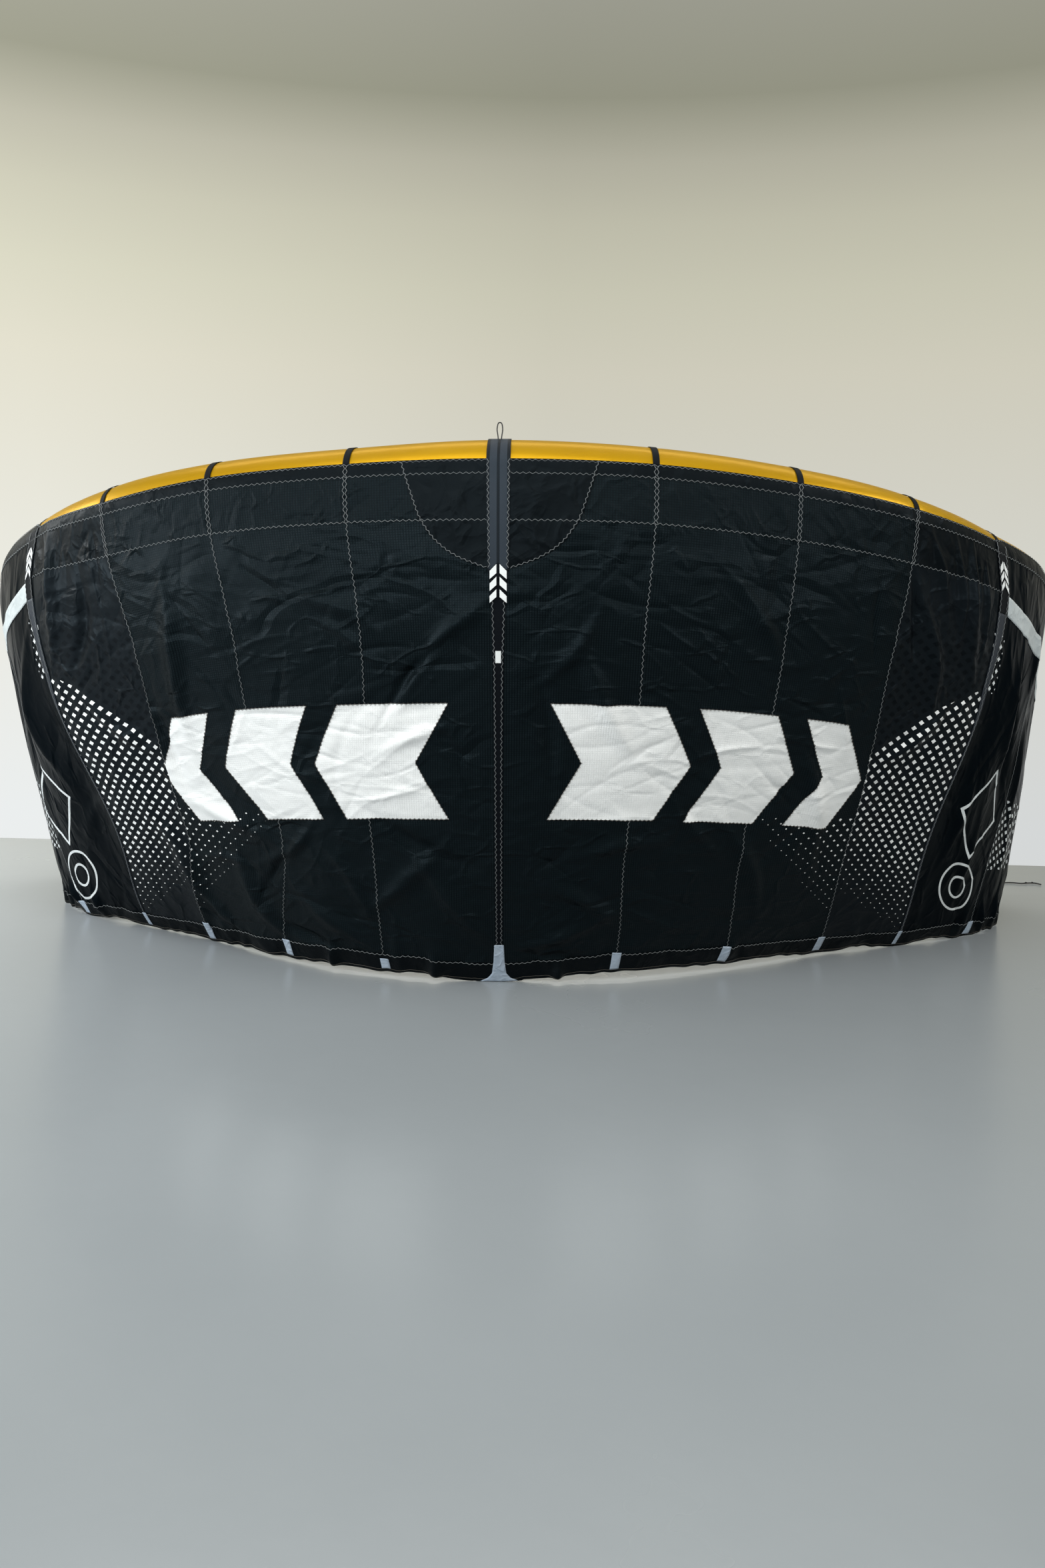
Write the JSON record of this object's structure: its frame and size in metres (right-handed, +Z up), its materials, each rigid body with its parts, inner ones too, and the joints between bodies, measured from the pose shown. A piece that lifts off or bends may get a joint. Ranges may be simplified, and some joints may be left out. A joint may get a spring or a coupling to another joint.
{
  "type": "kitesurfing kite",
  "caption": "Arched kite with an inflated leading-edge tube, black cloth panels, struts and curled tips, standing on its trailing edge.",
  "frame": {"origin": "on the floor, under the middle of the kite's bounding box without its cords", "axes": "+X to the right as seen from in front of the outer face, +Y to the back, where the tips point, +Z up"},
  "size_m": [3.7257, 1.6464, 1.5043],
  "materials": {
    "gold_dacron": "inflated gold woven polyester with a light sheen",
    "black_ripstop": "black double ripstop, slightly crinkled",
    "black_canopy": "smooth black canopy cloth, satin",
    "black_dacron": "firm black woven polyester, satin",
    "grey_tape": "blue-grey twill tape with grey zigzag stitches",
    "pale_cloth": "pale blue-white cloth, satin",
    "dark_cord": "dark braided cord"
  },
  "bodies": {
    "root": {"tube_left_1": "gold_dacron", "tube_left_2": "gold_dacron", "tube_left_3": "gold_dacron", "tube_left_4": "gold_dacron", "tube_left_5": "gold_dacron", "tube_left_6": "gold_dacron", "tube_right_1": "gold_dacron", "tube_right_2": "gold_dacron", "tube_right_3": "gold_dacron", "tube_right_4": "gold_dacron", "tube_right_5": "gold_dacron", "tube_right_6": "gold_dacron", "edge_band_left": "black_dacron", "front_left_1": "black_dacron", "panel_left_1": "black_ripstop", "front_left_2": "black_dacron", "panel_left_2": "black_ripstop", "front_left_3": "black_dacron", "panel_left_3": "black_ripstop", "front_left_4": "black_dacron", "panel_left_4": "black_canopy", "panel_left_5": "black_canopy", "panel_left_6": "black_canopy", "hem_left": "black_dacron", "edge_band_right": "black_dacron", "front_right_1": "black_dacron", "panel_right_1": "black_ripstop", "front_right_2": "black_dacron", "panel_right_2": "black_ripstop", "front_right_3": "black_dacron", "panel_right_3": "black_ripstop", "front_right_4": "black_dacron", "panel_right_4": "black_canopy", "panel_right_5": "black_canopy", "panel_right_6": "black_canopy", "hem_right": "black_dacron", "shield": "black_dacron", "centre_tape": "grey_tape", "centre_band": "black_dacron", "strut_band_left": "grey_tape", "flash_left": "pale_cloth", "tab_left_1": "pale_cloth", "tab_left_2": "pale_cloth", "tab_left_3": "pale_cloth", "tab_left_4": "pale_cloth", "tab_left_5": "pale_cloth", "strut_band_right": "grey_tape", "flash_right": "pale_cloth", "tab_right_1": "pale_cloth", "tab_right_2": "pale_cloth", "tab_right_3": "pale_cloth", "tab_right_4": "pale_cloth", "tab_right_5": "pale_cloth", "centre_foot": "pale_cloth", "label_blank": "pale_cloth", "strut_centre": "gold_dacron", "strut_left": "gold_dacron", "strut_right": "gold_dacron", "loop_cord": "dark_cord", "pigtail_cord": "dark_cord"}
  },
  "joints": []
}
